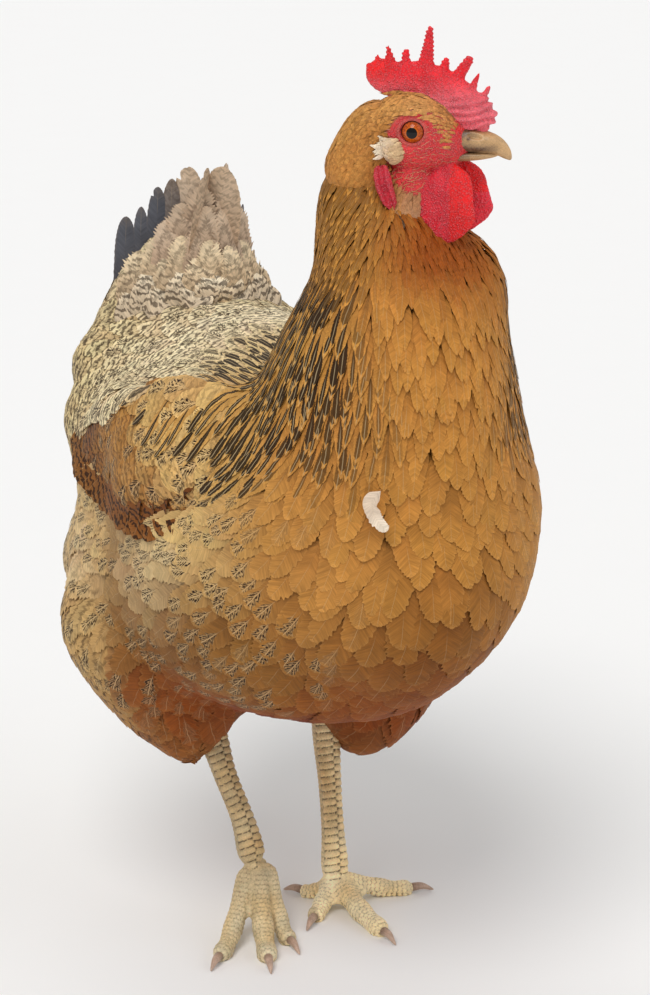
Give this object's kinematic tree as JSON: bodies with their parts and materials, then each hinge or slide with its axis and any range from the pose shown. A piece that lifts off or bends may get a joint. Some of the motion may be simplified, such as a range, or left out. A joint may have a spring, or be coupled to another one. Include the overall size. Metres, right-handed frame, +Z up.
{
  "type": "standing hen figure",
  "caption": "Life-size still hen standing with a raised tail, single comb and wattles, head turned to her left, one foot flat and the other resting on its toe tips.",
  "frame": {"origin": "on the floor, under the middle of the bird's bounding box", "axes": "+Z up, -Y the way the body faces (beak and breast), -X the bird's right side"},
  "size_m": [0.2222, 0.3408, 0.4908],
  "materials": {
    "feather_buff": "soft overlapping golden-buff feathers with pale shafts and dark flecks",
    "feather_straw": "straw feathers finely speckled with dark brown",
    "feather_slate": "smooth slate-grey tail feathers",
    "comb_red": "bright red grained skin",
    "lobe_rose": "wrinkled rose-red skin",
    "beak_horn": "horn, darker along the ridge",
    "eye_amber": "wet and glossy, orange iris with a black pupil",
    "leg_scale": "grey-yellow scales with darker edges",
    "claw_horn": "pale horn"
  },
  "bodies": {
    "root": {"trunk": "feather_buff", "neck": "feather_buff", "thigh_left": "feather_buff", "thigh_right": "feather_buff", "wing_left": "feather_straw", "wing_right": "feather_straw", "tail": "feather_straw", "tail_fan_left": "feather_slate", "tail_fan_right": "feather_slate", "head": "comb_red", "comb": "comb_red", "wattle_left": "comb_red", "wattle_right": "comb_red", "earlobe_left": "lobe_rose", "earlobe_right": "lobe_rose", "beak_upper": "beak_horn", "beak_lower": "beak_horn", "eye_left": "eye_amber", "eye_right": "eye_amber", "shank_left": "leg_scale", "shank_right": "leg_scale", "toe_left_1": "leg_scale", "toe_left_2": "leg_scale", "toe_left_3": "leg_scale", "toe_left_4": "leg_scale", "toe_right_1": "leg_scale", "toe_right_2": "leg_scale", "toe_right_3": "leg_scale", "toe_right_4": "leg_scale", "claw_left_1": "claw_horn", "claw_left_2": "claw_horn", "claw_left_3": "claw_horn", "claw_left_4": "claw_horn", "claw_right_1": "claw_horn", "claw_right_2": "claw_horn", "claw_right_3": "claw_horn", "claw_right_4": "claw_horn"}
  },
  "joints": []
}
